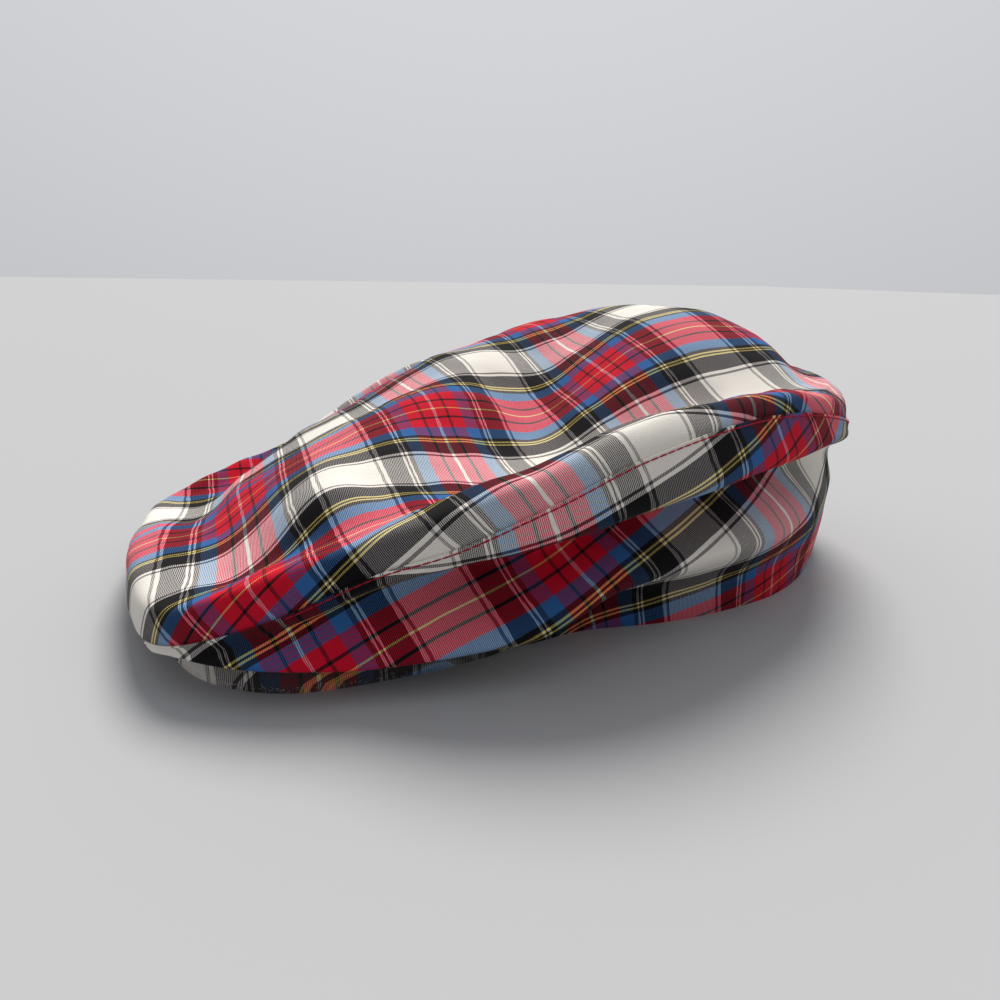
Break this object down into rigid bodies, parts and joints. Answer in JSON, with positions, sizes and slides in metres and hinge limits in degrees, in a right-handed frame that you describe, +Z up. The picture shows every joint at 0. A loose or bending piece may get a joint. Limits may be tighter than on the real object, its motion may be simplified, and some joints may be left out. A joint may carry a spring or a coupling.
{
  "type": "flat cap",
  "caption": "Soft woven flat cap with a folded crown, two side panels and a low covered peak, resting on its rim.",
  "frame": {"origin": "on the floor, under the middle of the cap's outline", "axes": "+Z up from the rim to the crown, +Y from the peak to the back, +X to the wearer's left"},
  "size_m": [0.2053, 0.2702, 0.0908],
  "materials": {
    "crown_cloth": "matte twill",
    "side_cloth": "matte twill",
    "peak_cloth": "matte twill, worn along the edge"
  },
  "bodies": {
    "root": {"top_panel": "crown_cloth", "side_panel_left": "side_cloth", "side_panel_right": "side_cloth", "peak": "peak_cloth"}
  },
  "joints": []
}
